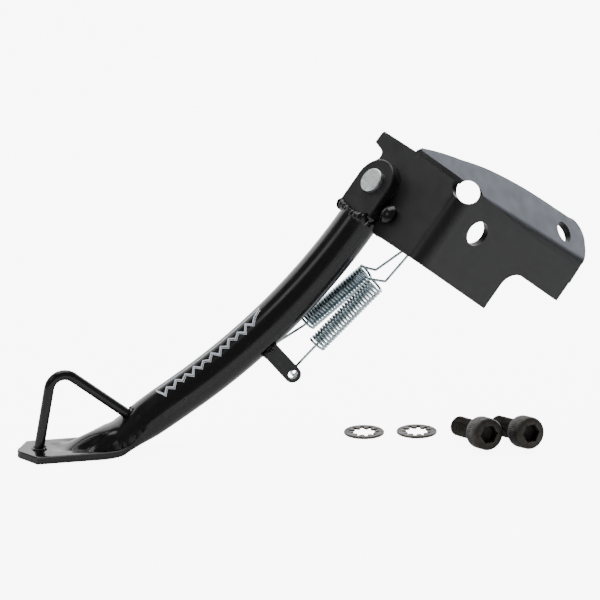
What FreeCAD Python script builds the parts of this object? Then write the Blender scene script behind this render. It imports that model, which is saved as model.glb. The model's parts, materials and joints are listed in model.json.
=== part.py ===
"""Side stand kit for a small scooter: a bent sheet bracket, a tubular leg that swings on a
riveted pivot pin between two welded ears, two coil springs and the loose mounting hardware.

Row frame, millimetres: origin under the middle of the foot plate, +Z up, +X from the foot
towards the bracket, the leg's bend lies in the XZ plane.
"""

import FreeCAD
import Part
import math
import os

Vec = FreeCAD.Vector

# ---- leg: one tube whose lower end is pressed flat into the foot plate -------------------
TUBE_R = 10.0
TUBE_WALL = 2.0
FOOT_WIDTH = 28.0
FOOT_THICK = 3.6
FOOT_TIP_X = -21.0
FOOT_SHOULDER_X = -14.0
FOOT_FLAT_X = 24.0          # the underside turns up from here
FOOT_BEND_R = 44.0
FOOT_TURN = 25.5            # degrees
LEG_SLOPE = 32.5            # degrees, straight lower part of the leg
LEG_BEND_START = (62.0, 26.7)
LEG_BEND_R = 325.0
LEG_BEND_TURN = 22.5        # degrees
ROUND_FROM_X = 50.0         # the tube is fully round from here up
BORE_FROM_X = 60.0          # and hollow from here up

# ---- pivot and bracket attitude ----------------------------------------------------------
PIVOT = Vec(161.8, 2.0, 123.7)
BRACKET_YAW, BRACKET_PITCH, BRACKET_ROLL = 29.5, 36.8, 12.1

# ---- bracket: side wing A (plane X = 0), front wall B (plane Y = 0), top flange C --------
SHEET = 3.5
BEND_R = 7.5                # outer bend radius
PIVOT_Y, PIVOT_Z = 51.4, -20.5
PIVOT_END_R = 16.2          # rounded end of wing A around the pivot
WING_TOP = 3.4
WING_BOTTOM = -41.2
WALL_END_X = 94.7
WALL_STEP_X = 56.0
WALL_STEP_Z = -16.8
FLANGE_ANGLE = 47.0         # bend between wall B and flange C
FLANGE_TILT = 3.4           # the upper bend rises to the right
CORNER_WING = (3.3, 3.2, 8.0)            # relief where the bends meet: wing A's share
CORNER_MIDDLE = (4.0, 2.6, 0.8, 5.7)     # the bend's share
CORNER_FLANGE = (6.6, 0.8, 6.4)          # flange C's share
WALL_HOLE = (22.7, -12.9, 6.3)
FLANGE_HOLE = (80.6, 11.6, 5.4)

# ---- pivot stack, measured from the middle plane of wing A -------------------------------
PIN_R = 5.0
PIN_HEAD_R = 6.1
PIN_HEAD_H = 2.2
RUNNING_GAP = 0.05
BUSH_R = 7.0
BUSH_HALF = 2.7
EAR_GAP = 3.0
EAR_THICK = 4.5
EAR_R = 12.0
EAR_DROP = 17.5
WASHER_R = 11.0
WASHER_T = 0.85
STOP_HEAD_R = 4.8
STOP_GAP = 0.3
STOP_Z = -9.1

# ---- ground tang -------------------------------------------------------------------------
TANG_R = 2.5
TANG_FOOT = (-10.5, 3.0)
TANG_APEX = (-2.9, 46.2)
TANG_END = (35.5, 16.6)
TANG_BEND_R = 7.5

# ---- springs and their anchors -----------------------------------------------------------
LUG_T = 3.0
LUG_W = 8.4
LUG_HOLE_R = 2.3
FRONT_LUG_Y = -6.0
REAR_LUG_Y = 10.4
FRONT_LUG_HOLE = (114.9, 34.4)
REAR_LUG_HOLE = (107.6, 41.6)
POST_R = 3.0
POST_Y, POST_Z = 18.4, -8.8
POST_REACH = 28.6
SPRING_DEPTHS = (19.3, 25.3)   # where each upper hook sits on the post, from wing A's face
COIL_R = 4.05
SPRING_WIRE_R = 0.65
COILS = 24
COIL_SPANS = ((0.165, 0.53), (0.20, 0.53))  # stretch of the lug to post line under the coil
COIL_SHIFTS = ((1.6, 1.8), (0.9, 4.4))      # its axis lies beside that line at either end
RIM_SIDE = Vec(-0.65, 0.36, 0.67)   # the coil's last turn leaves the rim on this side
HOOK_REACH = 3.3
HOOK_BEHIND = (3.5, 3.9)               # hook wire behind each lug's middle
HOOK_WIRE = 32.0

# ---- loose hardware ----------------------------------------------------------------------
SCREW_R = 5.0
SCREW_HEAD_R = 8.0
SCREW_HEAD_H = 10.0
SCREW_LENGTH = 22.0
SCREW_KEY = 8.0
LOCK_R = 10.0
LOCK_T = 1.2
LOCK_TEETH = 10

BRACKET_ROT = FreeCAD.Rotation(BRACKET_YAW, BRACKET_PITCH, BRACKET_ROLL)
BRACKET_ORIGIN = PIVOT - BRACKET_ROT.multVec(Vec(SHEET / 2, PIVOT_Y, PIVOT_Z))
BRACKET_PLACE = FreeCAD.Placement(BRACKET_ORIGIN, BRACKET_ROT)
PIVOT_PLACE = FreeCAD.Placement(PIVOT, BRACKET_ROT)
OUT = Vec(-1, 0, 0)         # from wing A towards the front ear, in the pivot frame


def write(name, shape):
    """One STEP per sub-part."""
    solids = shape.Solids
    bad = [s for s in solids if not s.isValid()]
    shape = Part.makeCompound(solids) if len(solids) > 1 else solids[0]
    shape.exportStep("parts/%s.step" % name)
    print("%-18s solids %d  volume %9.1f  %s" % (
        name, len(solids), shape.Volume, "BAD" if bad else "ok"))


def placed(shape, placement):
    shape = shape.copy()
    shape.Placement = placement.multiply(shape.Placement)
    return shape


def outline(points, closed=True):
    """Wire from points; an item (mid, end) is an arc through mid to end."""
    edges = []
    here = points[0]
    for item in points[1:]:
        if isinstance(item, tuple):
            edges.append(Part.Arc(here, item[0], item[1]).toShape())
            here = item[1]
        else:
            edges.append(Part.LineSegment(here, item).toShape())
            here = item
    if closed and here.distanceToPoint(points[0]) > 1e-6:
        edges.append(Part.LineSegment(here, points[0]).toShape())
    return Part.Wire(edges)


def shifted(points, move):
    """The same outline moved; arcs are kept as (mid, end)."""
    return [(p[0] + move, p[1] + move) if isinstance(p, tuple) else p + move for p in points]


def rounded(points, radius):
    """Polyline whose inner corners are replaced by tangent arcs, as outline() takes it."""
    path = [points[0]]
    for before, corner, after in zip(points, points[1:], points[2:]):
        into = (corner - before).normalize()
        away = (after - corner).normalize()
        turn = into.getAngle(away)
        set_back = radius * math.tan(turn / 2)
        half_way = (away - into).normalize()
        mid = corner + half_way * (radius / math.cos(turn / 2) - radius)
        path.append(corner - into * set_back)
        path.append((mid, corner + away * set_back))
    path.append(points[-1])
    return path


def slab(points, push):
    return Part.Face(outline(points)).extrude(push)


def tube_between(radius, start, end):
    along = end - start
    return Part.makeCylinder(radius, along.Length, start, along)


def wire_along(path_wire, radius):
    """Round bar along a path of lines and tangent arcs."""
    first = path_wire.Edges[0]
    start = first.valueAt(first.FirstParameter)
    tangent = first.tangentAt(first.FirstParameter)
    profile = Part.Wire([Part.Circle(start, tangent, radius).toShape()])
    return path_wire.makePipeShell([profile], True, True)


def leg_point(x_pos, z_pos, y_pos=0.0):
    return Vec(x_pos, y_pos, z_pos)


def slope_dir(degrees):
    return Vec(math.cos(math.radians(degrees)), 0, math.sin(math.radians(degrees)))


def slope_normal(degrees):
    return Vec(-math.sin(math.radians(degrees)), 0, math.cos(math.radians(degrees)))


BEND_POINT = leg_point(*LEG_BEND_START)
BEND_CENTRE = BEND_POINT + slope_normal(LEG_SLOPE) * LEG_BEND_R


def on_leg(turn):
    """Point of the tube's axis after turning this many degrees along the bend."""
    return BEND_CENTRE - slope_normal(LEG_SLOPE + turn) * LEG_BEND_R


def leg_run(radius, start_x, turn):
    """Straight and curved stretch of the tube as one solid."""
    back = (BEND_POINT.x - start_x) / math.cos(math.radians(LEG_SLOPE))
    start = BEND_POINT - slope_dir(LEG_SLOPE) * back
    arc = Part.Arc(BEND_POINT, on_leg(turn / 2), on_leg(turn))
    path = Part.Wire([Part.LineSegment(start, BEND_POINT).toShape(), arc.toShape()])
    return wire_along(path, radius)


def press_section(x_pos, z_mid, tilt, half_w, half_h, power):
    """Rounded section of the pressed end: power 2 is an ellipse, 7 nearly a rectangle."""
    up = slope_normal(tilt)
    centre = leg_point(x_pos, z_mid)
    count = 28
    points = []
    for i in range(count):
        angle = 2 * math.pi * i / count
        side = math.copysign(abs(math.cos(angle)) ** (2 / power), math.cos(angle)) * half_w
        rise = math.copysign(abs(math.sin(angle)) ** (2 / power), math.sin(angle)) * half_h
        points.append(centre + Vec(0, side, 0) + up * rise)
    curve = Part.BSplineCurve()
    curve.interpolate(Points=points, PeriodicFlag=True)
    return Part.Wire([curve.toShape()])


def axis_z(x_pos):
    """Height of the straight lower part's axis."""
    return BEND_POINT.z - (BEND_POINT.x - x_pos) * math.tan(math.radians(LEG_SLOPE))


def foot_plate():
    """Flat plate with a pointed front; its rear edge turns up into the tube."""
    wide = FOOT_WIDTH / 2
    turn = math.radians(FOOT_TURN)
    centre = Vec(FOOT_FLAT_X, -20, FOOT_BEND_R)
    half = Vec(math.sin(turn / 2), 0, -math.cos(turn / 2))
    full = Vec(math.sin(turn), 0, -math.cos(turn))
    inner = FOOT_BEND_R - FOOT_THICK
    side = slab(
        [
            Vec(-24, -20, 0),
            Vec(FOOT_FLAT_X, -20, 0),
            (centre + half * FOOT_BEND_R, centre + full * FOOT_BEND_R),
            centre + full * inner,
            (centre + half * inner, Vec(FOOT_FLAT_X, -20, FOOT_THICK)),
            Vec(-24, -20, FOOT_THICK),
        ],
        Vec(0, 40, 0),
    )
    plan = slab(
        [
            Vec(44, 6.2, -1),
            Vec(33, 11.6, -1),
            Vec(22, wide, -1),
            Vec(FOOT_SHOULDER_X, wide, -1),
            Vec(FOOT_TIP_X + 1.2, 3.4, -1),
            (Vec(FOOT_TIP_X, 0.4, -1), Vec(FOOT_TIP_X + 1.2, -2.6, -1)),
            Vec(FOOT_SHOULDER_X, -wide, -1),
            Vec(22, -wide, -1),
            Vec(33, -11.6, -1),
            Vec(44, -6.2, -1),
        ],
        Vec(0, 0, 30),
    )
    return side.common(plan)


def foot_swell():
    """The flattened tube's upper side, swelling from the plate to the full round."""
    steps = [
        (2.6, 2.2, 0, 1.0, 1.0, 2),
        (12.5, 3.0, 5, 6.4, 5.9, 2),
        (21.4, 4.6, 10, 10.0, 7.5, 2),
        (31.0, 8.6, 21, 11.4, 7.4, 2),
        (39.5, 12.3, 28, 10.8, 8.9, 2),
        (48.0, axis_z(48.0), LEG_SLOPE, 9.93, 9.93, 2),
        (58.0, axis_z(58.0), LEG_SLOPE, 9.4, 9.4, 2),
    ]
    swell = Part.makeLoft([press_section(*step) for step in steps], True, False)
    return swell.common(Part.makeBox(80, 60, 60, Vec(0, -30, 0.8)))


def end_cutter():
    """Everything above the tube's top end, square to the ears."""
    box = Part.makeBox(120, 120, 80, Vec(-60, -60, -EAR_DROP))
    return placed(box, PIVOT_PLACE)


def make_leg():
    shell = leg_run(TUBE_R, ROUND_FROM_X, LEG_BEND_TURN + 4).cut(end_cutter())
    whole = foot_plate().fuse(foot_swell()).fuse(shell)
    bore = leg_run(TUBE_R - TUBE_WALL, BORE_FROM_X, LEG_BEND_TURN + 8)
    return whole.cut(bore)


# ---- bracket -----------------------------------------------------------------------------
def pivot_polar(radius, degrees):
    turn = math.radians(degrees)
    return Vec(0, PIVOT_Y + radius * math.cos(turn), PIVOT_Z + radius * math.sin(turn))


def angle_profile():
    """Wing A and wall B before their outlines are cut: one bent strip."""
    far_a, far_b = 80.0, WALL_END_X
    inner = BEND_R - SHEET
    mid = BEND_R * (1 - math.sqrt(0.5))
    mid_in = BEND_R - inner * math.sqrt(0.5)
    z_low = WING_BOTTOM - 5
    points = [
        Vec(0, far_a, z_low),
        Vec(0, BEND_R, z_low),
        (Vec(mid, mid, z_low), Vec(BEND_R, 0, z_low)),
        Vec(far_b, 0, z_low),
        Vec(far_b, SHEET, z_low),
        Vec(BEND_R, SHEET, z_low),
        (Vec(mid_in, mid_in, z_low), Vec(SHEET, BEND_R, z_low)),
        Vec(SHEET, far_a, z_low),
    ]
    return slab(points, Vec(0, 0, 60))


def wing_outline():
    """Outline of wing A: tip, concave notch, rounded pivot end and lower corner."""
    points = [
        Vec(0, -5, WING_BOTTOM - 0.1),
        Vec(0, 36.0, WING_BOTTOM),
        (Vec(0, 38.0, WING_BOTTOM + 0.8), Vec(0, 38.9, WING_BOTTOM + 2.7)),
        pivot_polar(PIVOT_END_R, -132),
        (pivot_polar(PIVOT_END_R, -45), pivot_polar(PIVOT_END_R, 42)),
        (Vec(0, 63.2, -7.3), Vec(0, 65.6, -5.0)),
        Vec(0, 71.8, -3.4),
        Vec(0, 71.6, 1.8),
        (Vec(0, 71.1, 2.9), Vec(0, 70.0, WING_TOP)),
        Vec(0, -5, WING_TOP),
    ]
    return slab(shifted(points, Vec(-5, 0, 0)), Vec(110, 0, 0))


def wall_outline():
    """Outline of wall B: long lower edge, round-cornered step and the short right part."""
    step_r = 9.5
    corner = step_r * (1 - math.sqrt(0.5))
    x_s, z_s = WALL_STEP_X, WALL_STEP_Z
    points = [
        Vec(-5, -5, WING_BOTTOM - 0.1),
        Vec(x_s, -5, WING_BOTTOM + 0.8),
        Vec(x_s, -5, z_s - step_r),
        (Vec(x_s + corner, -5, z_s - corner), Vec(x_s + step_r, -5, z_s)),
        Vec(WALL_END_X + 1, -5, z_s + 0.6),
        Vec(WALL_END_X + 1, -5, 1.0),
        Vec(BEND_R + 1, -5, WING_TOP),
        Vec(-5, -5, WING_TOP),
    ]
    return slab(points, Vec(0, 100, 0))


def flange_frame():
    """X along the upper bend, Y back, Z up the wall."""
    return FreeCAD.Placement(Vec(0, 0, 1.0), FreeCAD.Rotation(Vec(0, 1, 0), -FLANGE_TILT))


def flange_dirs():
    lean = math.radians(FLANGE_ANGLE)
    run = Vec(0, math.sin(lean), math.cos(lean))
    inward = Vec(0, math.cos(lean), -math.sin(lean))
    return run, inward


def flange_strip():
    """Top of wall B, the upper bend and the flange as one bent strip."""
    run, inward = flange_dirs()
    lean = math.radians(FLANGE_ANGLE)
    reach = BEND_R * math.tan(lean / 2)
    centre = Vec(0, BEND_R, -reach)
    ray = {part: Vec(0, -math.cos(lean * part), math.sin(lean * part)) for part in (0, 0.5, 1)}
    inner = BEND_R - SHEET
    points = [
        Vec(0, 0, -12),
        centre + ray[0] * BEND_R,
        (centre + ray[0.5] * BEND_R, centre + ray[1] * BEND_R),
        run * 45,
        run * 45 + inward * SHEET,
        centre + ray[1] * inner,
        (centre + ray[0.5] * inner, centre + ray[0] * inner),
        Vec(0, SHEET, -12),
    ]
    return slab(shifted(points, Vec(-45, 0, 0)), Vec(160, 0, 0))


def flange_point(along, up):
    run, inward = flange_dirs()
    return Vec(along, 0, 0) + run * up - inward * 10


def flange_outline():
    """Outline of flange C: wing over the side panel, long free edge, rounded right end."""
    inward = flange_dirs()[1]
    at = flange_point
    points = [
        at(BEND_R + 1, 3.0),
        at(-7.0, 5.0),
        at(-34.0, 6.6),
        (at(-35.4, 7.4), at(-34.0, 8.6)),
        (at(-18.0, 13.0), at(-3.0, 16.0)),
        (at(8.0, 18.5), at(20.0, 20.6)),
        (at(42.0, 22.6), at(62.0, 23.0)),
        at(86.0, 22.4),
        (at(95.4, 20.2), at(98.2, 12.0)),
        (at(97.4, 5.0), at(WALL_END_X, -1.0)),
        at(WALL_END_X, -30),
        at(BEND_R + 1, -30),
    ]
    return slab(points, inward * 60)


def corner_middle():
    """Relief through the bend where the three panels meet."""
    x_m, y_m, z_m, r_m = CORNER_MIDDLE
    slant = Vec(0.70, 0.714, 0)
    return Part.makeCylinder(r_m, 40, Vec(x_m, y_m, z_m) - slant * 20, slant)


def wing_relief():
    """Relief square to wing A."""
    y_c, z_c, r_c = CORNER_WING
    return Part.makeCylinder(r_c, 13.55, Vec(-10, y_c, z_c), Vec(1, 0, 0))


def flange_relief():
    """Relief square to flange C."""
    run, inward = flange_dirs()
    along, up, r_f = CORNER_FLANGE
    start = Vec(along, 0, 0) + run * up - inward * 10
    return placed(Part.makeCylinder(r_f, 13.55, start, inward), flange_frame())


def make_bracket():
    body = angle_profile().common(wing_outline()).common(wall_outline())
    body = body.cut(wing_relief())
    top = placed(flange_strip().common(flange_outline()), flange_frame())
    top = top.cut(flange_relief())
    body = body.fuse(top).cut(corner_middle())
    x_h, z_h, r_h = WALL_HOLE
    body = body.cut(Part.makeCylinder(r_h, 20, Vec(x_h, -10, z_h), Vec(0, 1, 0)))
    x_f, q_f, r_f = FLANGE_HOLE
    run, inward = flange_dirs()
    drill = Part.makeCylinder(r_f, 30, Vec(x_f, 0, 0) + run * q_f - inward * 15, inward)
    body = body.cut(placed(drill, flange_frame()))
    body = body.cut(Part.makeCylinder(BUSH_R, 20, Vec(-10, PIVOT_Y, PIVOT_Z), Vec(1, 0, 0)))
    shank = STOP_HEAD_R - 1.3
    y_s, z_s = stop_place()
    body = body.cut(Part.makeCylinder(shank, 20, Vec(-10, y_s, z_s), Vec(1, 0, 0)))
    return body.removeSplitter()


def stop_place():
    return PIVOT_Y - EAR_R - STOP_HEAD_R - STOP_GAP, PIVOT_Z + STOP_Z


# ---- pivot stack, pivot frame: X runs away from the front ear ------------------------------
def disc(radius, x_from, x_to, y_at=0.0, z_at=0.0):
    return Part.makeCylinder(radius, x_to - x_from, Vec(x_from, y_at, z_at), Vec(1, 0, 0))


def make_ear(side):
    """Plate with a round top; side -1 is the front ear, +1 the rear one."""
    inner = EAR_GAP * side
    corner = 2.0
    low = -EAR_DROP
    points = [
        Vec(inner, EAR_R, 0),
        Vec(inner, EAR_R, low + corner),
        Vec(inner, EAR_R - corner, low),
        Vec(inner, corner - EAR_R, low),
        Vec(inner, -EAR_R, low + corner),
        Vec(inner, -EAR_R, 0),
        (Vec(inner, 0, EAR_R), Vec(inner, EAR_R, 0)),
    ]
    ear = slab(points, Vec(EAR_THICK * side, 0, 0))
    rim = [e for e in ear.Edges if abs(e.CenterOfMass.x - inner - EAR_THICK * side) < 0.01]
    ear = ear.makeChamfer(0.5, rim)
    return ear.cut(disc(PIN_R, -30, 30))


def make_pin():
    outer = EAR_GAP + EAR_THICK
    head = disc(PIN_HEAD_R, -outer - PIN_HEAD_H, -outer)
    head = head.makeChamfer(0.5, [head.Edges[0]] if head.Edges[0].CenterOfMass.x < -outer - 1
                            else [head.Edges[2]])
    shaft = disc(PIN_R, -outer, outer + 1.2)
    tail = disc(PIN_HEAD_R + 0.4, outer + 1.2, outer + 3.0)
    return head.fuse(shaft).fuse(tail).removeSplitter()


def make_stop_pin():
    """Rivet with a domed head beside the front ear; local bracket frame."""
    y_s, z_s = stop_place()
    head_flat = disc(STOP_HEAD_R, -2.0, 0, y_s, z_s)
    dome_r = 6.4
    reach = math.sqrt(dome_r ** 2 - STOP_HEAD_R ** 2)
    ball = Part.makeSphere(dome_r, Vec(-2.0 + reach, y_s, z_s))
    dome = ball.common(disc(STOP_HEAD_R, -8.0, -2.0, y_s, z_s))
    shank = disc(STOP_HEAD_R - 1.3, 0, SHEET, y_s, z_s)
    tail = disc(STOP_HEAD_R - 0.3, SHEET, SHEET + 1.4, y_s, z_s)
    return head_flat.fuse(dome).fuse(shank).fuse(tail).removeSplitter()


def make_post():
    """Spring anchor post standing on the back of wing A."""
    post = disc(POST_R, SHEET, POST_REACH, POST_Y, POST_Z)
    ends = [e for e in post.Edges if abs(e.CenterOfMass.x - POST_REACH) < 0.01]
    return post.makeChamfer(0.6, ends)


def bead_row(start, end, radius, count):
    """Weld bead: overlapping round ripples along a line."""
    bead = None
    for i in range(count):
        blob = Part.makeSphere(radius * (1.0 + 0.08 * math.sin(2.3 * i)),
                               start + (end - start) * (i / (count - 1)))
        bead = blob if bead is None else bead.fuse(blob)
    return bead


# ---- tang and lugs -------------------------------------------------------------------------
def make_tang():
    low = leg_point(*TANG_FOOT)
    apex = leg_point(*TANG_APEX)
    end = leg_point(*TANG_END)
    path = outline(rounded([low, apex, end], TANG_BEND_R), closed=False)
    return wire_along(path, TANG_R)


def make_lug(hole, y_mid, root):
    """Flat lug square to the leg with a rounded end and a hole; root is its buried length."""
    centre = leg_point(hole[0], hole[1], y_mid - LUG_T / 2)
    inward = (BEND_CENTRE - leg_point(*hole)).normalize()
    across = Vec(inward.z, 0, -inward.x)
    half = LUG_W / 2
    points = [
        centre + across * half,
        centre + across * half + inward * root,
        centre - across * half + inward * root,
        centre - across * half,
        (centre - inward * half, centre + across * half),
    ]
    lug = slab(points, Vec(0, LUG_T, 0))
    drill = Part.makeCylinder(LUG_HOLE_R, 20, centre - Vec(0, 8, 0), Vec(0, 1, 0))
    return lug.cut(drill)


# ---- springs -------------------------------------------------------------------------------
def spring_ends(index):
    hole, y_mid = ((FRONT_LUG_HOLE, FRONT_LUG_Y), (REAR_LUG_HOLE, REAR_LUG_Y))[index]
    low = leg_point(hole[0], hole[1], y_mid)
    high = BRACKET_PLACE.multVec(Vec(SPRING_DEPTHS[index], POST_Y, POST_Z))
    return low, high


def rim_dir(along):
    """Square to the spring, towards the side on which the wire leaves the coil."""
    side = RIM_SIDE - along * RIM_SIDE.dot(along)
    return side.normalize()


def post_ring(eye, towards):
    """Open ring round the post, entered along its tangent: approach, start, (mid, end)."""
    axis = BRACKET_ROT.multVec(Vec(1, 0, 0))
    flat = towards - axis * towards.dot(axis)
    flat.normalize()
    side = axis.cross(flat)
    radius = POST_R + 0.25 + SPRING_WIRE_R
    spots = []
    for degrees in (90, 195, 290):
        turn = math.radians(degrees)
        spots.append(eye + flat * (radius * math.cos(turn)) + side * (radius * math.sin(turn)))
    return spots[0] + flat * 5.0, spots[0], (spots[1], spots[2])


def coil_axis(index):
    """Lower and upper end of the coil's axis, and the side on which the wire leaves it."""
    low, high = spring_ends(index)
    along = (high - low).normalize()
    span = (high - low).Length
    rim = rim_dir(along)
    start, end = [low + along * (span * part) + rim * shift
                  for part, shift in zip(COIL_SPANS[index], COIL_SHIFTS[index])]
    return start, end, rim


def make_spring(index):
    """Close coil and its upper hook: the wire crosses the coil's end and runs to the post."""
    low, high = spring_ends(index)
    bottom, top, rim = coil_axis(index)
    length = (top - bottom).Length
    helix = Part.makeHelix(length / COILS, length, COIL_R)
    profile = Part.Wire([Part.Circle(Vec(COIL_R, 0, 0), Vec(0, 1, 0), SPRING_WIRE_R).toShape()])
    coil = Part.Wire(helix.Edges).makePipeShell([profile], True, True)
    axis = (top - bottom).normalize()
    turned = FreeCAD.Rotation(rim, axis.cross(rim), axis, "ZXY")
    place = FreeCAD.Placement(bottom, turned)
    approach, start, arc = post_ring(high, low - high)
    bends = [
        place.multVec(Vec(COIL_R, 0, length)),
        place.multVec(Vec(COIL_R, 2.0, length)),
        place.multVec(Vec(-2.2, 2.4, length + 4.6)),
        approach,
        start,
    ]
    wire = wire_along(outline(rounded(bends, 1.0) + [arc], closed=False), SPRING_WIRE_R)
    return Part.makeCompound([placed(coil, place), wire])


def make_spring_hook(index):
    """Lower hook: a straight wire inside the coil, bent through the hole of the lug."""
    low, high = spring_ends(index)
    along = (high - low).normalize()
    bottom, top, rim = coil_axis(index)
    axis = (top - bottom).normalize()
    behind = low + Vec(0, HOOK_BEHIND[index], 0)
    before = low - Vec(0, HOOK_REACH, 0)
    bends = [
        bottom + axis * HOOK_WIRE,
        bottom - axis * 2.5,
        behind + along * 5.4,
        behind,
        before,
        before + along * 2.6,
    ]
    return wire_along(outline(rounded(bends, 0.9), closed=False), SPRING_WIRE_R)


# ---- loose hardware --------------------------------------------------------------------------
def make_screw():
    """Socket cap screw along +X from its head's top face."""
    head = disc(SCREW_HEAD_R, 0, SCREW_HEAD_H)
    rims = [e for e in head.Edges if e.Length > 6 * SCREW_HEAD_R and e.CenterOfMass.x < 1]
    head = head.makeChamfer(0.9, rims)
    key_r = SCREW_KEY / math.sqrt(3)
    corners = [Vec(-1, key_r * math.cos(math.pi * i / 3), key_r * math.sin(math.pi * i / 3))
               for i in range(6)]
    socket = slab(corners, Vec(6, 0, 0))
    tip = SCREW_HEAD_H + SCREW_LENGTH
    shank = disc(SCREW_R, SCREW_HEAD_H, tip)
    ends = [e for e in shank.Edges if e.Length > 6 * SCREW_R and e.CenterOfMass.x > tip - 1]
    shank = shank.makeChamfer(0.9, ends)
    return head.fuse(shank).cut(socket)


def make_lock_washer():
    """Internal toothed lock washer lying flat."""
    ring = Part.makeCylinder(LOCK_R, LOCK_T)
    root_r, tip_r = 7.4, 5.3
    step = 2 * math.pi / LOCK_TEETH
    gap = []
    for i in range(LOCK_TEETH):
        for radius, part in ((root_r, 0.0), (root_r, 0.34), (tip_r, 0.42), (tip_r, 0.86)):
            angle = step * (i + part)
            gap.append(Vec(radius * math.cos(angle), radius * math.sin(angle), -1))
    return ring.cut(slab(gap, Vec(0, 0, 5)))


def screw_place(x_pos, y_pos, heading):
    """Screw lying on the floor on its head's rim and its tip."""
    droop = math.atan2(SCREW_HEAD_R - SCREW_R, SCREW_LENGTH - 0.9)
    rot = FreeCAD.Rotation(Vec(0, 0, 1), heading).multiply(
        FreeCAD.Rotation(Vec(0, 1, 0), math.degrees(droop)))
    lift = SCREW_HEAD_H * math.sin(droop) + SCREW_HEAD_R * math.cos(droop) + 0.02
    return FreeCAD.Placement(Vec(x_pos, y_pos, lift), rot)


def main():
    os.makedirs("parts", exist_ok=True)
    leg = make_leg()
    write("leg_tube", leg)
    write("bracket", placed(make_bracket(), BRACKET_PLACE))

    ears = {"ear_front": -1, "ear_rear": 1}
    ear_shapes = {}
    for name, side in ears.items():
        ear_shapes[name] = placed(make_ear(side), PIVOT_PLACE)
        write(name, ear_shapes[name])
    solids = [leg] + list(ear_shapes.values())
    for name, side in (("ear_weld_front", -1), ("ear_weld_rear", 1)):
        depth = side * (EAR_GAP + EAR_THICK - 0.6)
        row = bead_row(Vec(depth, 10.2, -EAR_DROP - 0.4), Vec(depth, -10.2, -EAR_DROP - 0.4),
                       2.0, 9)
        row = placed(row, PIVOT_PLACE)
        for other in solids:
            row = row.cut(other)
        write(name, row)

    write("pivot_pin", placed(make_pin(), PIVOT_PLACE))
    outer = EAR_GAP + EAR_THICK
    write("pin_washer", placed(disc(9.0, outer, outer + 1.2).cut(disc(PIN_R, 0, 30)),
                               PIVOT_PLACE))
    bush = disc(BUSH_R, -BUSH_HALF, BUSH_HALF).cut(disc(PIN_R + RUNNING_GAP, -30, 30))
    write("pivot_bush", placed(bush, PIVOT_PLACE))
    for name, side in (("friction_washer_front", -1), ("friction_washer_rear", 1)):
        face = side * SHEET / 2
        low, high = sorted((face, face + side * WASHER_T))
        ring = disc(WASHER_R, low, high).cut(disc(BUSH_R, -30, 30))
        write(name, placed(ring, PIVOT_PLACE))
    write("stop_pin", placed(make_stop_pin(), BRACKET_PLACE))
    write("spring_post", placed(make_post(), BRACKET_PLACE))

    write("tang", make_tang().cut(leg))
    front_lug = make_lug(FRONT_LUG_HOLE, FRONT_LUG_Y, 22.0).cut(leg_run(TUBE_R, 60, 24))
    rear_lug = make_lug(REAR_LUG_HOLE, REAR_LUG_Y, 15.0).cut(leg_run(TUBE_R, 60, 24))
    write("spring_lug_front", front_lug)
    write("spring_lug_rear", rear_lug)

    for index, name in enumerate(("front", "rear")):
        write("spring_%s" % name, make_spring(index))
        write("spring_hook_%s" % name, make_spring_hook(index))

    for i, (x_pos, y_pos, heading) in enumerate(((204.0, -47.0, 104.0), (224.4, -50.0, 107.0))):
        write("cap_screw_%d" % (i + 1), placed(make_screw(), screw_place(x_pos, y_pos, heading)))
    for i, (x_pos, y_pos) in enumerate(((152.0, -3.0), (177.5, -8.0))):
        spot = FreeCAD.Placement(Vec(x_pos, y_pos, 0), FreeCAD.Rotation(Vec(0, 0, 1), 20 * i))
        write("lock_washer_%d" % (i + 1), placed(make_lock_washer(), spot))


main()
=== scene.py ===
import bpy
import json
import math
from mathutils import Matrix, Vector


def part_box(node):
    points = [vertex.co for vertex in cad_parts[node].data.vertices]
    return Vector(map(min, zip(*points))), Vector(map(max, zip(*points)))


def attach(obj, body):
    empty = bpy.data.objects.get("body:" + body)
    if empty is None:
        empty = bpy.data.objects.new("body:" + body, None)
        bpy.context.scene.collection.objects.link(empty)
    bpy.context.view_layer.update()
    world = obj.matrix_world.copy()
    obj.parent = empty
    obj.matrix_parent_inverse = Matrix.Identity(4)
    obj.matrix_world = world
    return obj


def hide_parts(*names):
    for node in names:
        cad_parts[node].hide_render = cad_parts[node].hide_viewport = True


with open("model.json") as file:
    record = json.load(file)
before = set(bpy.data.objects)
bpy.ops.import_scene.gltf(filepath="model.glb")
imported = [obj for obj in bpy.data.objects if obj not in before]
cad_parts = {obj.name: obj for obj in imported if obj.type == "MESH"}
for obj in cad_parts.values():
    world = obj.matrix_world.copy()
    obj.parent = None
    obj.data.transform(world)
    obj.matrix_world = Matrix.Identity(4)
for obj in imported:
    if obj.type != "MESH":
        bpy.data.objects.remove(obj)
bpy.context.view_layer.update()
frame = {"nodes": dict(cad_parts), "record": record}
RECORD = frame["record"]
MM = 0.001

# ---- frames from the record ---------------------------------------------------------------------
JOINTS = {j["name"]: j for j in RECORD["behaviour"]["joints"]}
MOUNTS = {m["name"]: m for m in RECORD["mounts"]}
PIVOT = Vector(JOINTS["leg_pivot"]["pos_m"])
BX = Vector(JOINTS["leg_pivot"]["axis"]).normalized()
BY = -Vector(MOUNTS["wall_bore"]["axis"]).normalized()
BZ = BX.cross(BY).normalized()


def at_pivot(x, y, z):
    """Point in the bracket's directions from the pivot, millimetres."""
    return PIVOT + (BX * x + BY * y + BZ * z) * MM


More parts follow.
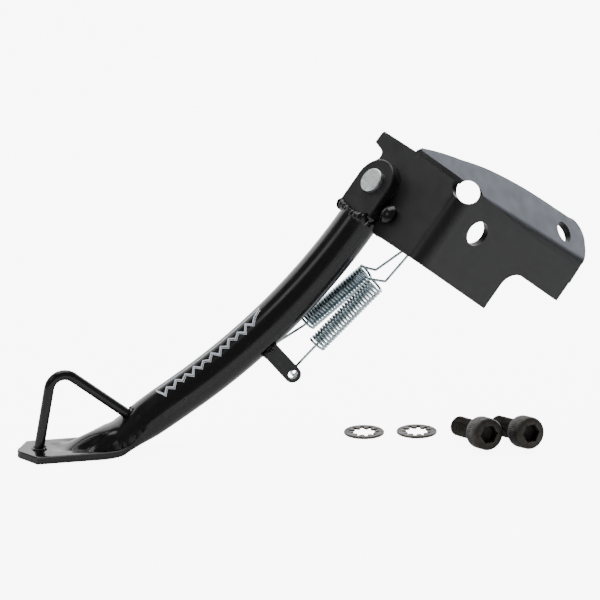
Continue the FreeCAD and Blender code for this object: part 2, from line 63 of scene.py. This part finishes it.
# ---- leg's axis, as in the CAD ------------------------------------------------------------------
SLOPE = 32.5
BEND_START = Vector((62.0, 0, 26.7))
BEND_R = 325.0
TUBE_R = 10.0
TUBE_WALL = 2.0
TUBE_END = -17.5              # height of the tube's square end from the pivot, bracket's Z
FOOT_THICK = 3.6
FOOT_FLAT_X = 24.0            # the foot's underside turns up from here
FOOT_BEND_R = 44.0
LUG_HOLE = Vector((114.9, 0, 34.4))    # front spring lug
LUG_FRONT_Y = -7.3            # just behind the front lug's face
LUG_BEAD = 8.0                # its bead's middle, this far below the tube's axis


def normal(deg):
    """Square to a line that climbs at deg degrees, in the leg's upright plane."""
    a = math.radians(deg)
    return Vector((-math.sin(a), 0, math.cos(a)))


def tangent(deg):
    """Along a line that climbs at deg degrees."""
    a = math.radians(deg)
    return Vector((math.cos(a), 0, math.sin(a)))


def tube_axis(run):
    """Centre of the tube and the direction square to it, run mm from the bend's start."""
    turn = SLOPE + max(0.0, math.degrees(run / BEND_R))
    up = normal(turn)
    if run < 0:
        centre = BEND_START + tangent(SLOPE) * run
    else:
        centre = BEND_START + normal(SLOPE) * BEND_R - up * BEND_R
    return centre, up


def on_tube(run, phi, lift):
    """Point on the tube, metres; phi is degrees from the front to the top."""
    centre, up = tube_axis(run)
    a = math.radians(phi)
    out = Vector((0, -math.cos(a), 0)) + up * math.sin(a)
    return (centre + out * (TUBE_R + lift)) * MM


# ---- materials ----------------------------------------------------------------------------------
def new_material(name):
    """New node material with its tree and its shader."""
    mat = bpy.data.materials.new(name)
    mat.use_nodes = True
    tree = mat.node_tree
    return mat, tree, tree.nodes["Principled BSDF"]


def object_coords(tree):
    return tree.nodes.new("ShaderNodeTexCoord").outputs["Object"]


def noise(tree, vector, scale, detail, rough=0.5):
    node = tree.nodes.new("ShaderNodeTexNoise")
    node.inputs["Scale"].default_value = scale
    node.inputs["Detail"].default_value = detail
    node.inputs["Roughness"].default_value = rough
    tree.links.new(vector, node.inputs["Vector"])
    return node.outputs["Fac"]


def ramp(tree, fac, stops):
    """Colour ramp between two (position, colour) stops."""
    node = tree.nodes.new("ShaderNodeValToRGB")
    for item, (pos, col) in zip(node.color_ramp.elements, stops):
        item.position = pos
        item.color = (*col, 1.0)
    tree.links.new(fac, node.inputs["Fac"])
    return node.outputs["Color"]


def grey(value):
    return (value, value, value)


def bump(tree, height, strength, distance, under=None):
    """Bump of a distance in metres, over another bump if one is given."""
    node = tree.nodes.new("ShaderNodeBump")
    node.inputs["Strength"].default_value = strength
    node.inputs["Distance"].default_value = distance
    tree.links.new(height, node.inputs["Height"])
    if under is not None:
        tree.links.new(under, node.inputs["Normal"])
    return node.outputs["Normal"]


def worn_edges(tree, shader, colour, start, worn):
    """Base colour that turns to the worn one where the surface is sharper than start."""
    geo = tree.nodes.new("ShaderNodeNewGeometry")
    edge = ramp(tree, geo.outputs["Pointiness"], [(start, grey(0.0)), (0.60, grey(1.0))])
    mix = tree.nodes.new("ShaderNodeMix")
    mix.data_type = "RGBA"
    mix.inputs["B"].default_value = worn
    tree.links.new(edge, mix.inputs["Factor"])
    tree.links.new(colour, mix.inputs["A"])
    tree.links.new(mix.outputs["Result"], shader.inputs["Base Color"])


def powder_coat(name, rough_low, rough_high, tone, peel, wear):
    """Black powder coat: orange peel, mottled sheen, edges rubbed slightly lighter."""
    mat, tree, shader = new_material(name)
    vec = object_coords(tree)
    cloud = noise(tree, vec, 38.0, 4.0)
    dark = tuple(c * 0.8 for c in tone)
    light = tuple(c * 1.25 for c in tone)
    paint = ramp(tree, cloud, [(0.3, dark), (0.75, light)])
    worn_edges(tree, shader, paint, 0.53, (wear, wear, wear * 1.03, 1))
    sheen = [(0.25, grey(rough_low)), (0.8, grey(rough_high))]
    rough = ramp(tree, noise(tree, vec, 130.0, 3.0), sheen)
    tree.links.new(rough, shader.inputs["Roughness"])
    fine = bump(tree, noise(tree, vec, 900.0, 2.0), 0.35, peel)
    wide = bump(tree, noise(tree, vec, 150.0, 1.0), 0.25, peel * 1.6, fine)
    tree.links.new(wide, shader.inputs["Normal"])
    shader.inputs["IOR"].default_value = 1.42
    return mat


def zinc(name, tone, rough_low, rough_high, scale, dark):
    """Zinc plate: bright, slightly blue, with cloudy grey patches and a fine grain."""
    mat, tree, shader = new_material(name)
    vec = object_coords(tree)
    cloud = noise(tree, vec, scale, 5.0, 0.6)
    col = ramp(tree, cloud, [(0.32, dark), (0.62, tone)])
    tree.links.new(col, shader.inputs["Base Color"])
    sheen = [(0.3, grey(rough_low)), (0.75, grey(rough_high))]
    rough = ramp(tree, noise(tree, vec, scale * 2.5, 3.0), sheen)
    tree.links.new(rough, shader.inputs["Roughness"])
    grain = bump(tree, noise(tree, vec, 1400.0, 2.0), 0.3, 0.00004)
    tree.links.new(grain, shader.inputs["Normal"])
    shader.inputs["Metallic"].default_value = 1.0
    return mat


def oxide(name):
    """Black oxide steel: dull, brownish where the edges are rubbed."""
    mat, tree, shader = new_material(name)
    vec = object_coords(tree)
    cloud = noise(tree, vec, 260.0, 5.0, 0.65)
    col = ramp(tree, cloud, [(0.3, (0.010, 0.009, 0.008)), (0.72, (0.034, 0.030, 0.025))])
    worn_edges(tree, shader, col, 0.52, (0.13, 0.115, 0.095, 1))
    rough = ramp(tree, noise(tree, vec, 420.0, 4.0), [(0.3, grey(0.38)), (0.7, grey(0.60))])
    tree.links.new(rough, shader.inputs["Roughness"])
    grain = bump(tree, noise(tree, vec, 1500.0, 3.0), 0.45, 0.00006)
    tree.links.new(grain, shader.inputs["Normal"])
    shader.inputs["Metallic"].default_value = 0.55
    return mat


TURNED_RINGS = 15000.0        # radians per metre: rings 0.42 mm apart


def pin_face(name, centre):
    """Zinc rivet head with turned rings round its centre."""
    mat, tree, shader = new_material(name)
    vec = object_coords(tree)
    away = tree.nodes.new("ShaderNodeVectorMath")
    away.operation = "DISTANCE"
    away.inputs[1].default_value = centre
    tree.links.new(vec, away.inputs[0])
    wave = tree.nodes.new("ShaderNodeMath")
    wave.operation = "SINE"
    scaled = tree.nodes.new("ShaderNodeMath")
    scaled.operation = "MULTIPLY"
    scaled.inputs[1].default_value = TURNED_RINGS
    tree.links.new(away.outputs["Value"], scaled.inputs[0])
    tree.links.new(scaled.outputs[0], wave.inputs[0])
    cloud = noise(tree, vec, 420.0, 6.0, 0.7)
    col = ramp(tree, cloud, [(0.30, (0.42, 0.46, 0.46)), (0.68, (0.80, 0.84, 0.83))])
    tree.links.new(col, shader.inputs["Base Color"])
    rough = ramp(tree, cloud, [(0.3, grey(0.34)), (0.7, grey(0.52))])
    tree.links.new(rough, shader.inputs["Roughness"])
    rings = bump(tree, wave.outputs[0], 0.12, 0.00005)
    tree.links.new(bump(tree, cloud, 0.5, 0.00012, rings), shader.inputs["Normal"])
    shader.inputs["Metallic"].default_value = 1.0
    return mat


COAT_LEG = powder_coat("coat_leg", 0.14, 0.26, (0.0045, 0.0044, 0.0040), 0.00003, 0.012)
COAT_PLATE = powder_coat("coat_plate", 0.30, 0.44, (0.0022, 0.0021, 0.0019), 0.00005, 0.012)
COAT_EAR = powder_coat("coat_ear", 0.26, 0.38, (0.0022, 0.0021, 0.0019), 0.00004, 0.012)
COAT_WELD = powder_coat("coat_weld", 0.12, 0.24, (0.005, 0.005, 0.0045), 0.00008, 0.015)
ZINC = zinc("zinc_plate", (0.74, 0.77, 0.78), 0.26, 0.42, 300.0, (0.50, 0.53, 0.54))
SPRING = zinc("zinc_spring", (0.50, 0.60, 0.63), 0.14, 0.26, 240.0, (0.28, 0.35, 0.38))
OXIDE = oxide("black_oxide")
PIN_FACE = 9.7                # mm from the pivot to the middle of the pin's front face
PIN = pin_face("pin_face", PIVOT - BX * PIN_FACE * MM)

LOOK = {
    "leg_tube": COAT_LEG, "tang": COAT_LEG,
    "spring_lug_front": COAT_EAR, "spring_lug_rear": COAT_EAR,
    "bracket": COAT_PLATE, "ear_front": COAT_EAR, "ear_rear": COAT_EAR, "stop_pin": COAT_LEG,
    "ear_weld_front": COAT_WELD, "ear_weld_rear": COAT_WELD, "spring_post": COAT_LEG,
    "pivot_pin": PIN, "pin_washer": ZINC, "pivot_bush": ZINC,
    "friction_washer_front": ZINC, "friction_washer_rear": ZINC,
    "spring_front": SPRING, "spring_rear": SPRING, "spring_hook_front": SPRING,
    "spring_hook_rear": SPRING, "cap_screw_1": OXIDE, "cap_screw_2": OXIDE,
    "lock_washer_1": OXIDE, "lock_washer_2": OXIDE,
}
for name, obj in frame["nodes"].items():
    look = LOOK[name]
    if len(obj.material_slots) == 0:
        obj.data.materials.append(look)
    for s in obj.material_slots:
        s.material = look


# ---- mesh helpers -------------------------------------------------------------------------------
def make(name, verts, faces, mat, body, slot, smooth=True, sharp=None):
    """Mesh piece that rides a body; edges over sharp degrees stay crisp."""
    mesh = bpy.data.meshes.new(name)
    mesh.from_pydata([tuple(v) for v in verts], [], faces)
    mesh.validate()
    mesh.update()
    obj = bpy.data.objects.new(name, mesh)
    bpy.context.scene.collection.objects.link(obj)
    mesh.materials.append(mat)
    mesh.polygons.foreach_set("use_smooth", [smooth] * len(mesh.polygons))
    if sharp is not None:
        mesh.set_sharp_from_angle(angle=math.radians(sharp))
    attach(obj, body)
    return obj


def rings_mesh(rings):
    """Skin over closed rings of equal length, capped at both ends."""
    count = len(rings[0])
    verts = [p for ring in rings for p in ring]
    faces = []
    for i in range(len(rings) - 1):
        a, b = i * count, (i + 1) * count
        for j in range(count):
            k = (j + 1) % count
            faces.append((a + j, a + k, b + k, b + j))
    faces.append(tuple(range(count))[::-1])
    base = (len(rings) - 1) * count
    faces.append(tuple(base + j for j in range(count)))
    return verts, faces


def sweep(points, radii, sides, wobble):
    """Slightly uneven skin round a polyline with a radius at each point."""
    rings = []
    side = None
    for i, p in enumerate(points):
        a = points[max(i - 1, 0)]
        b = points[min(i + 1, len(points) - 1)]
        t = (b - a).normalized()
        if side is None:
            side = t.orthogonal().normalized()
        side = (side - t * side.dot(t)).normalized()
        other = t.cross(side)
        ring = []
        for j in range(sides):
            ang = 2 * math.pi * j / sides
            r = radii[i] * (1.0 + wobble * math.sin(3 * ang + 1.7 * i))
            ring.append(p + side * (r * math.cos(ang)) + other * (r * math.sin(ang)))
        rings.append(ring)
    return rings_mesh(rings)


def weld_bead(name, path, radius, ripple, ripples, swell=()):
    """Lumpy bead along a path; swell adds blobs as (place 0-1, extra radius in mm, width)."""
    steps = ripples * 6
    points, radii = [], []
    for i in range(steps + 1):
        f = i / steps
        points.append(path(f))
        r = radius * (1.0 + ripple * abs(math.sin(math.pi * f * ripples)) - ripple * 0.5)
        r *= 1.0 + 0.10 * math.sin(9.1 * f + 0.6) + 0.06 * math.sin(23.0 * f)
        for place, extra, width in swell:
            r += extra * math.exp(-((f - place) / width) ** 2)
        to_end = min(f, 1 - f) * steps
        if to_end < 3:
            r *= max(0.12, math.sin(math.pi / 2 * to_end / 3))
        radii.append(r * MM)
    verts, faces = sweep(points, radii, 18, 0.06)
    return make(name, verts, faces, COAT_WELD, "leg", "black_paint")


# ---- leg: pressed foot that swells into the tube ------------------------------------------------
FOOT_TABLE = [
    # turn, X where flat, half-width, swell height, swell half-width, swell half-height, roundness
    (0.0, -21.0, 0.7, 1.8, 0.01, 0.01, 0.0),
    (0.0, -20.4, 2.4, 1.8, 0.01, 0.01, 0.0),
    (0.0, -19.8, 3.4, 1.8, 0.01, 0.01, 0.0),
    (0.0, -14.0, 14.0, 1.8, 0.01, 0.01, 0.0),
    (0.0, -6.0, 14.0, 1.8, 0.01, 0.01, 0.0),
    (0.0, 1.5, 14.0, 2.0, 0.6, 0.8, 0.0),
    (0.0, 12.0, 14.0, 3.0, 6.6, 5.5, 0.0),
    (0.0, 21.0, 13.8, 4.9, 10.2, 7.0, 0.0),
    (5.0, None, 13.3, 6.4, 11.3, 7.3, 0.10),
    (10.0, None, 12.6, 7.4, 11.4, 7.6, 0.28),
    (16.0, None, 11.9, 8.2, 11.2, 8.1, 0.55),
    (24.0, None, 11.1, 8.75, 10.9, 8.8, 0.85),
    (32.5, None, 10.4, 8.97, 10.4, 9.6, 1.0),
]
HALF = 40                     # steps across one side of a section
TIP_ROWS = 4                  # the rows of the pointed tip take no rows between them


def foot_section(turn, x_flat, wide, rise, swell_w, swell_h, roundness):
    """Closed ring of points: top side from +wide to -wide, then the underside back."""
    a = math.radians(turn)
    if x_flat is None:
        base = Vector((FOOT_FLAT_X + FOOT_BEND_R * math.sin(a), 0, FOOT_BEND_R * (1 - math.cos(a))))
    else:
        base = Vector((x_flat, 0, 0))
    up = normal(turn)
    plate = FOOT_THICK * (1 - roundness) + rise * roundness
    top, low = [], []
    for j in range(HALF + 1):
        v = wide * math.cos(math.pi * j / HALF)
        share = min(1.0, abs(v) / wide)
        height = plate - 0.5 * (1 - roundness) * share ** 30
        if abs(v) < swell_w:
            crest = rise + swell_h * math.sqrt(1 - (v / swell_w) ** 2)
            blend = max(0.0, min(1.0, 0.5 + (crest - height) / 2.4))
            height = height * (1 - blend) + crest * blend + 0.6 * blend * (1 - blend)
        under = roundness * (rise - swell_h * math.sqrt(1 - share * share))
        top.append((base + Vector((0, v, 0)) + up * height) * MM)
        low.append((base + Vector((0, v, 0)) + up * max(0.0, under)) * MM)
    return top + low[::-1]


def between(rows, parts):
    """Smooth extra rows between the table's rows (Catmull-Rom on every column)."""
    out = []
    for i in range(len(rows) - 1):
        r0, r1 = rows[max(i - 1, 0)], rows[i]
        r2, r3 = rows[i + 1], rows[min(i + 2, len(rows) - 1)]
        steps = parts if i >= TIP_ROWS else 1
        for k in range(steps):
            t = k / steps
            ring = []
            for p0, p1, p2, p3 in zip(r0, r1, r2, r3):
                square = (2 * p0 - 5 * p1 + 4 * p2 - p3) * t * t
                cube = (3 * p1 - p0 - 3 * p2 + p3) * t ** 3
                ring.append(0.5 * (2 * p1 + (p2 - p0) * t + square + cube))
            out.append(ring)
    return out + [rows[-1]]


def tube_ring(run, radius):
    """The same ring of points on the round tube."""
    centre, up = tube_axis(run)
    top, low = [], []
    for j in range(HALF + 1):
        a = math.pi * j / HALF
        side = Vector((0, radius * math.cos(a), 0))
        top.append((centre + side + up * (radius * math.sin(a))) * MM)
        low.append((centre + side - up * (radius * math.sin(a))) * MM)
    return top + low[::-1]


def cut_square(ring, run):
    """Slide a ring's points along the tube to its square top end."""
    ahead = tangent(SLOPE + math.degrees(run / BEND_R))
    out = []
    for p in ring:
        short = TUBE_END * MM - (p - PIVOT).dot(BZ)
        out.append(p + ahead * (short / ahead.dot(BZ)))
    return out


foot_rows = [foot_section(*row) for row in FOOT_TABLE]
foot_rows.append(tube_ring(-14.0, TUBE_R))
leg_rings = between(foot_rows, 6)
leg_rings += [tube_ring(r, TUBE_R) for r in (-9.0, -4.0, 0.0)]
leg_rings += [tube_ring(3.6 * k, TUBE_R) for k in range(1, 33)]
END_RUN = 118.0
for radius in (TUBE_R, TUBE_R - TUBE_WALL):
    leg_rings.append(cut_square(tube_ring(END_RUN, radius), END_RUN))
leg_rings.append(tube_ring(100.0, TUBE_R - TUBE_WALL))
leg_look = make("leg_skin", *rings_mesh(leg_rings), COAT_LEG, "leg", "black_paint", sharp=32)
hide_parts("leg_tube")


# ---- welds --------------------------------------------------------------------------------------
def ear_seam(side):
    """Path along the tube's end below the front (-1) or rear (1) ear."""
    def path(f):
        y = 11.2 - 22.6 * f
        bulge = max(0.0, 1 - (y / 9.5) ** 2)
        depth = side * (6.9 + 1.7 * bulge ** 0.6)
        return at_pivot(depth, y, -17.6 - 0.9 * bulge + 0.35 * math.sin(7 * f))
    return path


for side, tag in ((-1, "front"), (1, "rear")):
    bead = weld_bead("weld_seam_" + tag, ear_seam(side), 1.9, 0.35, 9,
                     [(0.02, 0.9, 0.06), (0.97, 1.2, 0.07), (0.80, 0.5, 0.05)])
    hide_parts("ear_weld_" + tag)


BEND_CENTRE = BEND_START + normal(SLOPE) * BEND_R
LUG_IN = (BEND_CENTRE - LUG_HOLE).normalized()
LUG_OUT = (BEND_CENTRE - LUG_HOLE).length - BEND_R


def lug_seam(f):
    """Along the lug's root, where its front face meets the underside of the tube."""
    across = Vector((LUG_IN.z, 0, -LUG_IN.x))
    root = LUG_HOLE + LUG_IN * (LUG_OUT - LUG_BEAD) + Vector((0, LUG_FRONT_Y, 0))
    return (root + across * (9.4 * (f - 0.5)) + LUG_IN * (0.5 * math.sin(9 * f))) * MM


weld_bead("weld_lug_front", lug_seam, 1.15, 0.3, 6, [(0.5, 0.35, 0.1)])


TANG_ROOT_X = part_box("tang")[0].x + 2.6 * MM


def foot_seam(f):
    """Round the tang's front end, on the foot plate."""
    ang = 2 * math.pi * f * 0.97
    radius = 3.2 * MM
    return Vector((TANG_ROOT_X + radius * math.cos(ang), radius * math.sin(ang), FOOT_THICK * MM))


weld_bead("weld_tang_foot", foot_seam, 0.75, 0.3, 9)


TANG_TOP = Vector((34.6, 0, 18.6))
TANG_SLOPE = math.radians(38)


def tang_top(f):
    """Round the tang's rear end, where it lands on the leg."""
    ang = math.pi * (0.1 + 1.8 * f)
    across = Vector((0, 1, 0))
    along = Vector((math.sin(TANG_SLOPE), 0, math.cos(TANG_SLOPE)))
    return (TANG_TOP + across * (3.0 * math.cos(ang)) + along * (3.0 * math.sin(ang))) * MM


weld_bead("weld_tang_top", tang_top, 0.8, 0.3, 8)


# ---- decal: a plain zigzag band -----------------------------------------------------------------
def decal_material():
    """Pale print, slightly uneven in tone and sheen."""
    mat, tree, shader = new_material("decal_print")
    vec = object_coords(tree)
    tones = [(0.3, (0.62, 0.70, 0.78)), (0.7, (0.86, 0.90, 0.94))]
    col = ramp(tree, noise(tree, vec, 700.0, 3.0), tones)
    tree.links.new(col, shader.inputs["Base Color"])
    rough = ramp(tree, noise(tree, vec, 300.0, 2.0), [(0.3, grey(0.28)), (0.7, grey(0.42))])
    tree.links.new(rough, shader.inputs["Roughness"])
    return mat


DECAL = decal_material()
DECAL_THICK = 0.06
decal_verts, decal_faces = [], []


def stroke(points, width):
    """Thin ribbon on the tube through (run, height) points, millimetres along and round it."""
    for (s0, h0), (s1, h1) in zip(points, points[1:]):
        length = math.hypot(s1 - s0, h1 - h0)
        ds, dh = (s1 - s0) / length, (h1 - h0) / length
        pieces = max(2, int(length / 0.8))
        first = len(decal_verts)
        for i in range(pieces + 1):
            f = -0.5 * width + (length + width) * i / pieces
            for off in (-0.5 * width, 0.5 * width):
                s = s0 + ds * f - dh * off
                h = h0 + dh * f + ds * off
                for lift in (0.0, DECAL_THICK):
                    decal_verts.append(on_tube(s, math.degrees(h / TUBE_R), lift))
        for i in range(pieces):
            a = first + 4 * i
            b = a + 4
            decal_faces.append((a + 1, b + 1, b + 3, a + 3))
            if i == 0:
                decal_faces.append((a, a + 1, a + 3, a + 2))
            decal_faces.append((a, b, b + 1, a + 1))
            decal_faces.append((a + 2, a + 3, b + 3, b + 2))
        last = first + 4 * pieces
        decal_faces.append((last, last + 2, last + 3, last + 1))


LOW, HIGH = 8.6, 13.2         # the band's edges, mm round the tube from its front
START, END = -10.5, 55.0      # and its ends, mm along it from the bend's start
TEETH, PITCH = 11, 5.6
for thick, drop in ((0.75, 0.0), (0.32, 1.25)):
    zigzag = [(START, HIGH + 0.4 - drop)]
    for k in range(TEETH):
        x = -8.2 + PITCH * k
        zigzag.append((x, LOW - drop + 0.5 * (k % 3)))
        zigzag.append((x + PITCH / 2, HIGH - 1.5 - drop + 0.7 * (k % 2)))
    zigzag.append((END, HIGH + 0.4 - drop))
    stroke(zigzag, thick)
stroke([(START, HIGH + 1.3), (END + 1, HIGH + 1.3)], 0.5)
make("decal_zigzag", decal_verts, decal_faces, DECAL, "leg", "black_paint", smooth=False)


# ---- cap screws: threads, knurled head, hexagon socket ------------------------------------------
HEADINGS = {"cap_screw_1": 104.0, "cap_screw_2": 107.0}   # degrees on the floor
DROOP = math.atan2(3.0, 21.1)     # the head's rim and the tip both rest on the floor
SCREW_R, SCREW_PITCH, THREAD_DEPTH = 4.98, 1.5, 0.85
THREAD_START, THREAD_END, RUN_OUT = 11.0, 31.6, 0.8
HEAD_R, KEY = 7.98, 8.0


def make_screw_look(node, body):
    """Rings along the screw's axis, from inside the socket over the head to the tip."""
    pts = [v.co.copy() for v in frame["nodes"][node].data.vertices]
    turn = math.radians(HEADINGS[node])
    level = Vector((math.cos(turn), math.sin(turn), 0))
    axis = level * math.cos(DROOP) - Vector((0, 0, math.sin(DROOP)))
    start = min(p.dot(axis) for p in pts)
    flat = Vector((-math.sin(turn), math.cos(turn), 0)) * -1
    up = axis.cross(flat).normalized()
    across = [p.dot(flat) for p in pts]
    rise = [p.dot(up) for p in pts]
    centre = axis * start
    centre += flat * ((min(across) + max(across)) / 2)
    centre += up * ((min(rise) + max(rise)) / 2)
    count = 96

    def ring(x, radius_of):
        """Ring at x mm from the head's face, with a radius at each angle."""
        out = []
        for j in range(count):
            a = 2 * math.pi * j / count
            r = radius_of(a, x)
            point = axis * x + flat * (r * math.cos(a)) + up * (r * math.sin(a))
            out.append(centre + point * MM)
        return out

    def hexagon(a, x):
        part = (a % (math.pi / 3)) - math.pi / 6
        return KEY / 2 / math.cos(part)

    def lead_in(a, x):
        return hexagon(a, x) + 0.25

    def knurl(a, x):
        return HEAD_R - 0.20 * abs(math.sin(24 * a))

    def thread(a, x):
        phase = (x / SCREW_PITCH - a / (2 * math.pi)) % 1.0
        tooth = abs(phase - 0.5) * 2
        to_end = min(x - THREAD_START, THREAD_END - x)
        fade = min(1.0, max(0.0, to_end / RUN_OUT))
        groove = 0.5 - 0.5 * math.cos(math.pi * min(1.0, tooth * 1.25))
        return SCREW_R - THREAD_DEPTH * fade * groove

    def fixed(r):
        return lambda a, x: r

    rings = [ring(5.2, fixed(0.6)), ring(5.0, fixed(2.0))]
    rings += [ring(4.6, hexagon), ring(0.3, hexagon), ring(0.0, lead_in)]
    rings += [ring(x, fixed(r)) for x, r in ((0.0, 6.6), (0.15, 7.15), (0.75, 7.72))]
    rings += [ring(x, knurl) for x in (1.2, 4.0, 7.0, 9.2)]
    under_head = ((9.7, 7.7), (9.98, 7.3), (10.0, 5.2), (10.6, SCREW_R))
    rings += [ring(x, fixed(r)) for x, r in under_head]
    x = 10.9
    while x < 31.2:
        rings.append(ring(x, thread))
        x += 0.125
    rings += [ring(31.5, fixed(4.3)), ring(31.95, fixed(3.9))]
    verts, faces = rings_mesh(rings)
    obj = make("screw_look_" + node[-1], verts, faces, OXIDE, body, "black_oxide", sharp=38)
    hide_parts(node)


make_screw_look("cap_screw_1", "screw_1")
make_screw_look("cap_screw_2", "screw_2")


# ---- toothed lock washers: bevelled ring, twisted teeth -----------------------------------------
def make_washer_look(node, body, start_deg):
    """Ring of rows round the washer's section; the inner rows follow the teeth."""
    low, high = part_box(node)
    centre = (low + high) / 2
    centre.z = low.z
    teeth, per = 10, 14
    count = teeth * per
    outer, root, tip = 9.95, 7.4, 5.35
    bevel, bottom, top = 0.25, 0.02, 1.18
    rim = ((outer - bevel, bottom), (outer, 0.25), (outer, 0.95), (outer - bevel, top))
    rows = [[corner] * count for corner in rim]
    inner_top, inner_bottom = [], []
    for j in range(count):
        p = (j % per) / per
        if p < 0.30:
            r, twist = root, 0.0
        else:
            q = (p - 0.30) / 0.70
            fall = 1.0 if q < 0.80 else max(0.0, (1 - q) / 0.20)
            r = root - (root - tip) * min(1.0, q / 0.14) * fall
            twist = (q - 0.5) * 0.5 * (root - r) / (root - tip)
        inner_top.append((r, 1.10 + twist * 0.15))
        inner_bottom.append((r, 0.10 + max(-0.08, twist * 0.3)))
    mid_top = [(root + bevel, top)] * count
    mid_bottom = [(root + bevel, bottom)] * count
    rows += [mid_top, inner_top, inner_bottom, mid_bottom]
    verts = []
    for row in rows:
        for j, (r, z) in enumerate(row):
            a = 2 * math.pi * j / count + math.radians(start_deg)
            verts.append(centre + Vector((r * math.cos(a), r * math.sin(a), z)) * MM)
    faces = []
    total = len(rows)
    for i in range(total):
        k = (i + 1) % total
        for j in range(count):
            n = (j + 1) % count
            faces.append((i * count + j, i * count + n, k * count + n, k * count + j))
    obj = make("washer_look_" + node[-1], verts, faces, OXIDE, body, "black_oxide", sharp=35)
    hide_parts(node)


make_washer_look("lock_washer_1", "washer_1", 8)
make_washer_look("lock_washer_2", "washer_2", 27)


# ---- floor, backdrop, light ---------------------------------------------------------------------
CAMERA_GLOW = 7.5             # emission that makes the paper white to the camera


def paper(name, glow_rest):
    """White paper; brighter to the camera than to the object, so black paint stays black."""
    mat, tree, shader = new_material(name)
    shader.inputs["Base Color"].default_value = (0.92, 0.92, 0.92, 1)
    shader.inputs["Roughness"].default_value = 0.9
    shader.inputs["Specular IOR Level"].default_value = 0.1
    shader.inputs["Emission Color"].default_value = (1, 1, 1, 1)
    rays = tree.nodes.new("ShaderNodeLightPath")
    glow = tree.nodes.new("ShaderNodeMath")
    glow.operation = "MULTIPLY_ADD"
    glow.inputs[1].default_value = CAMERA_GLOW - glow_rest
    glow.inputs[2].default_value = glow_rest
    tree.links.new(rays.outputs["Is Camera Ray"], glow.inputs[0])
    tree.links.new(glow.outputs[0], shader.inputs["Emission Strength"])
    return mat


def stage_mesh():
    """Floor that sweeps up into a backdrop behind the object."""
    bend_y, bend_r, below = 2.6, 1.4, 0.0001
    profile = [(-3.2, 0.0), (bend_y, 0.0)]
    for i in range(1, 13):
        a = math.radians(7.5 * i)
        profile.append((bend_y + bend_r * math.sin(a), bend_r - bend_r * math.cos(a)))
    profile.append((bend_y + bend_r, 5.0))
    verts, faces = [], []
    for y, z in profile:
        verts += [(-5.0, y, z - below), (5.2, y, z - below)]
    for i in range(len(profile) - 1):
        faces.append((2 * i, 2 * i + 1, 2 * i + 3, 2 * i + 2))
    mesh = bpy.data.meshes.new("stage_floor")
    mesh.from_pydata(verts, [], faces)
    mesh.polygons.foreach_set("use_smooth", [True] * len(faces))
    obj = bpy.data.objects.new("stage_floor", mesh)
    bpy.context.scene.collection.objects.link(obj)
    mesh.materials.append(paper("paper_floor", 0.18))
    mesh.materials.append(paper("paper_back", 2.2))
    for poly in mesh.polygons:
        poly.material_index = 1 if poly.center.y > 3.0 else 0


stage_mesh()
TARGET = Vector((0.1189, -0.0058, 0.0718))     # what the camera and the lights aim at


def area(name, place, size_x, size_y, power, colour=(1, 1, 1)):
    """Soft rectangular light, watts and metres."""
    light = bpy.data.lights.new(name, "AREA")
    light.shape = "RECTANGLE"
    light.size = size_x
    light.size_y = size_y
    light.energy = power
    light.color = colour
    obj = bpy.data.objects.new(name, light)
    bpy.context.scene.collection.objects.link(obj)
    obj.location = place
    obj.rotation_euler = (TARGET - Vector(place)).to_track_quat("-Z", "Y").to_euler()


area("softbox_top", (0.10, 0.30, 1.5), 1.3, 0.9, 15.0)
area("softbox_right", (1.45, 0.75, 0.55), 0.9, 0.8, 10.0, colour=(0.80, 0.87, 1.0))
area("softbox_left", (-1.2, -0.5, 1.1), 0.5, 0.5, 2.0)

world = bpy.data.worlds.new("studio")
bpy.context.scene.world = world
world.use_nodes = True
sky = world.node_tree.nodes["Background"]
sky.inputs["Color"].default_value = (1, 1, 1, 1)
sky.inputs["Strength"].default_value = 0.22

# ---- camera, its axes estimated from the photo --------------------------------------------------
RIGHT = Vector((0.973, -0.232, 0)).normalized()
AWAY = Vector((0.222, 0.930, -0.292))
AWAY = (AWAY - RIGHT * AWAY.dot(RIGHT)).normalized()
UP = RIGHT.cross(AWAY).normalized()
CAMERA_FAR = 3.0
cam_data = bpy.data.cameras.new("camera")
cam = bpy.data.objects.new("camera", cam_data)
bpy.context.scene.collection.objects.link(cam)
cam_data.sensor_width = 36.0
cam_data.lens = 369.0          # long lens: the photo's perspective is slight
cam_data.clip_end = 50.0
turn = Matrix((RIGHT, UP, -AWAY)).transposed().to_4x4()
cam.matrix_world = Matrix.Translation(TARGET - AWAY * CAMERA_FAR) @ turn
bpy.context.scene.camera = cam
